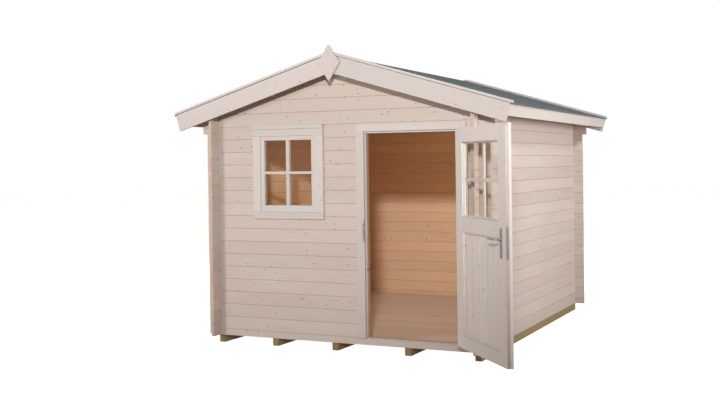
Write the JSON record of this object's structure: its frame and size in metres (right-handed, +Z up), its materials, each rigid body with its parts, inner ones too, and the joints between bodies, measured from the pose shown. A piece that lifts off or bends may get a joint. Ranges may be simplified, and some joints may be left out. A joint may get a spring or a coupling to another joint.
{
  "type": "garden house",
  "caption": "Small log garden house with a low felt gable roof, crossed corners, a fixed window and a half-glazed hinged door standing open.",
  "frame": {"origin": "on the ground under the middle foundation beam, halfway from the front wall to the back wall; the middle of the house is 75 mm to the right of it", "axes": "+X to the right along the front, +Y from the front to the back, +Z up"},
  "size_m": [3.4847, 3.4274, 2.6148],
  "materials": {
    "spruce_logs": "planed spruce, uncoated",
    "planed_trim": "planed spruce, uncoated",
    "door_leaf": "planed spruce, uncoated",
    "roof_wood": "planed spruce, uncoated",
    "floor_boards": "planed spruce, uncoated",
    "impregnated_wood": "pressure impregnated, green-brown",
    "roofing_felt": "mineral surfaced bitumen felt",
    "glass": "clear",
    "bright_steel": "zinc plated and brushed"
  },
  "bodies": {
    "house": {"foundation_beam_1": "impregnated_wood", "foundation_beam_2": "impregnated_wood", "foundation_beam_3": "impregnated_wood", "foundation_beam_4": "impregnated_wood", "foundation_beam_5": "impregnated_wood", "floor": "floor_boards", "front_foot_log": "spruce_logs", "front_wall_left": "spruce_logs", "front_wall_right": "spruce_logs", "front_gable": "spruce_logs", "back_wall": "spruce_logs", "left_wall": "spruce_logs", "right_wall": "spruce_logs", "ridge_purlin": "roof_wood", "left_purlin": "roof_wood", "right_purlin": "roof_wood", "roof_boards_left": "roof_wood", "roof_boards_right": "roof_wood", "roofing_felt_left": "roofing_felt", "roofing_felt_right": "roofing_felt", "eave_board_left": "planed_trim", "eave_board_right": "planed_trim", "front_bargeboard_left": "planed_trim", "front_bargeboard_right": "planed_trim", "back_bargeboard_left": "planed_trim", "back_bargeboard_right": "planed_trim", "front_cap_left": "planed_trim", "front_cap_right": "planed_trim", "back_cap_left": "planed_trim", "back_cap_right": "planed_trim", "front_gable_plate": "planed_trim", "door_jamb_left": "planed_trim", "door_jamb_right": "planed_trim", "door_head": "planed_trim", "door_threshold": "planed_trim", "strike_plate": "bright_steel", "frame_hinge_upper": "bright_steel", "frame_hinge_lower": "bright_steel", "window_casing": "planed_trim", "window_sash": "planed_trim", "window_glass": "glass"},
    "door_leaf": {"leaf_frame": "door_leaf", "leaf_panel": "door_leaf", "leaf_glass": "glass", "lock_set": "bright_steel", "leaf_hinge_upper": "bright_steel", "leaf_hinge_lower": "bright_steel"},
    "door_lever": {"door_lever": "bright_steel"}
  },
  "joints": [
    {"name": "door_swing", "type": "hinge", "parent": "house", "child": "door_leaf", "pos_m": [1.2335, -1.351, 1], "axis": [0, 0, 1], "range_deg": [-138, 16]},
    {"name": "lever_turn", "type": "hinge", "parent": "door_leaf", "child": "door_lever", "pos_m": [1.82913, -1.92766, 1.055], "axis": [-0.6691, -0.7431, 0], "range_deg": [0, 40], "stiffness_Nm_per_rad": 1.2, "springref_deg": -34.38}
  ]
}
